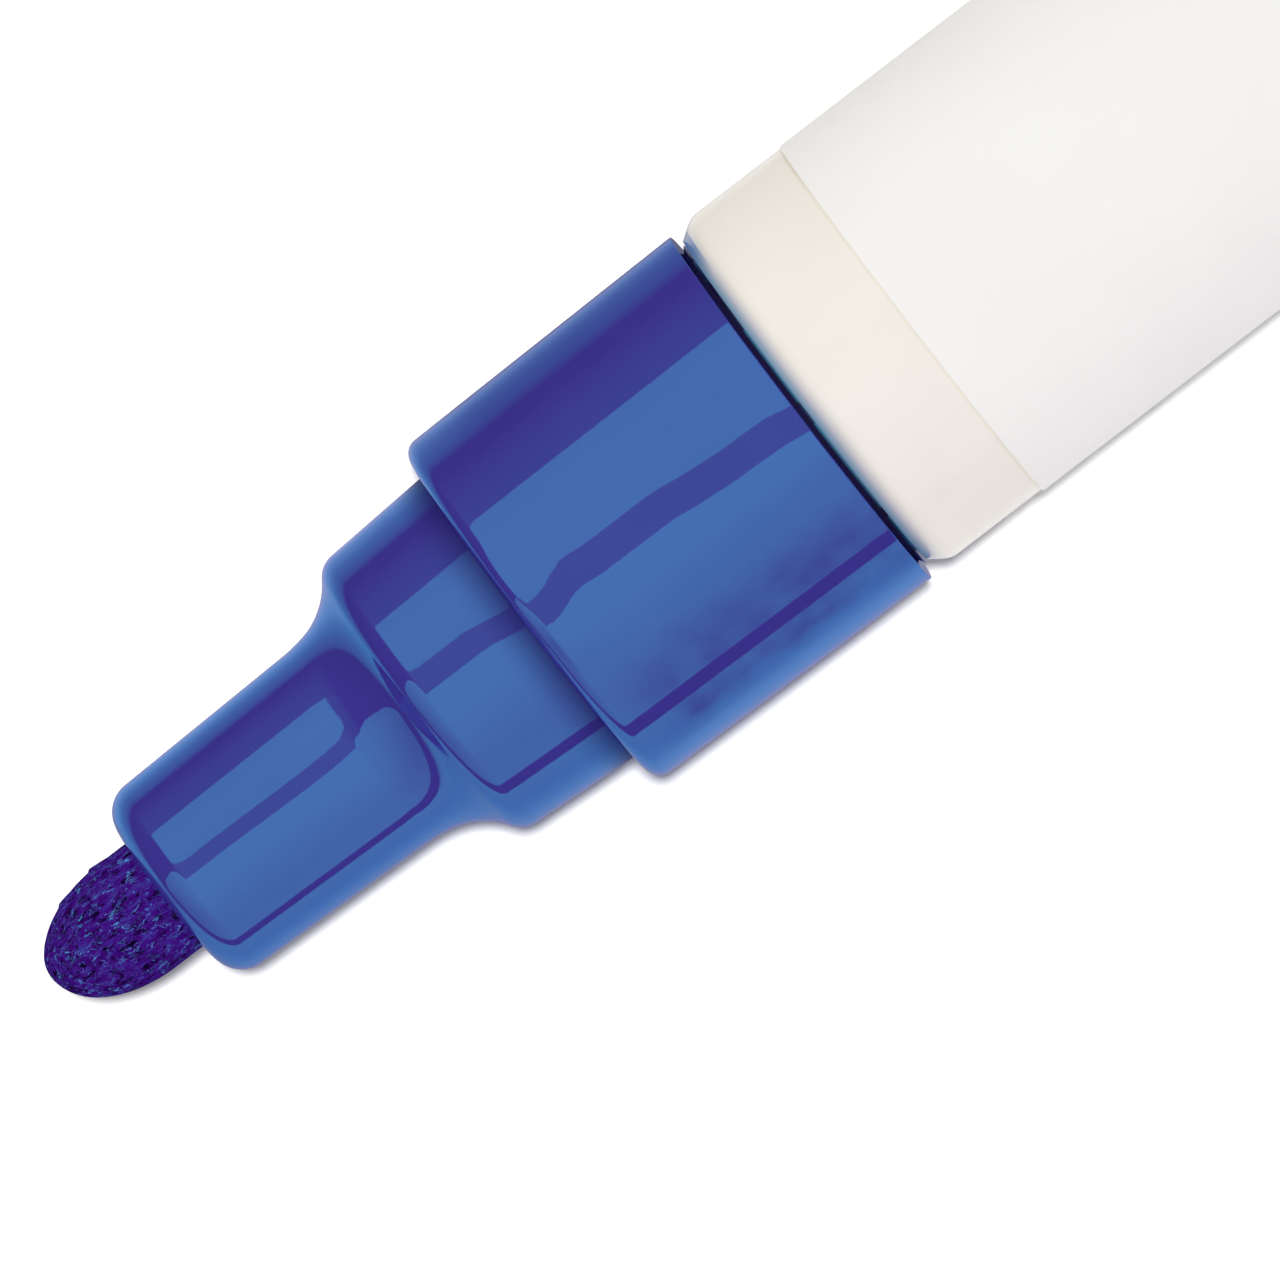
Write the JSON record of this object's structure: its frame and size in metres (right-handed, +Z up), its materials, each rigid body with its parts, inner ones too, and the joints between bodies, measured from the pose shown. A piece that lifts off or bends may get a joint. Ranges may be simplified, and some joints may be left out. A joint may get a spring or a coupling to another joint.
{
  "type": "whiteboard marker",
  "caption": "Bullet-nib whiteboard marker lying on its side, uncapped, with its fluted blue cap pushed onto the tail post.",
  "frame": {"origin": "middle of the marker's length, on the surface that it lies on", "axes": "+X along the marker's axis from the nib towards the tail, +Z up"},
  "size_m": [0.1512, 0.0178, 0.0176],
  "materials": {
    "inked_fibre": "ink-soaked sintered fibre, matt with wet glints",
    "blue_plastic": "high-gloss moulded polypropylene",
    "ivory_plastic": "semi-gloss extruded tube",
    "label_film": "satin wrap-around label, blank",
    "soaked_core": "ink-soaked fibre core",
    "clear_film": "thin glossy film",
    "natural_plastic": "uncoloured translucent polyethylene"
  },
  "bodies": {
    "marker": {"nib": "inked_fibre", "nib_holder": "blue_plastic", "barrel": "ivory_plastic", "label_sleeve": "label_film", "ink_reservoir": "soaked_core", "reservoir_film": "clear_film", "tail_plug": "blue_plastic"},
    "cap": {"cap_shell": "blue_plastic", "cap_inner_seal": "natural_plastic"}
  },
  "joints": [
    {"name": "cap_pull", "type": "slide", "parent": "marker", "child": "cap", "axis": [1, 0, 0], "range_m": [0, 0.012]}
  ]
}
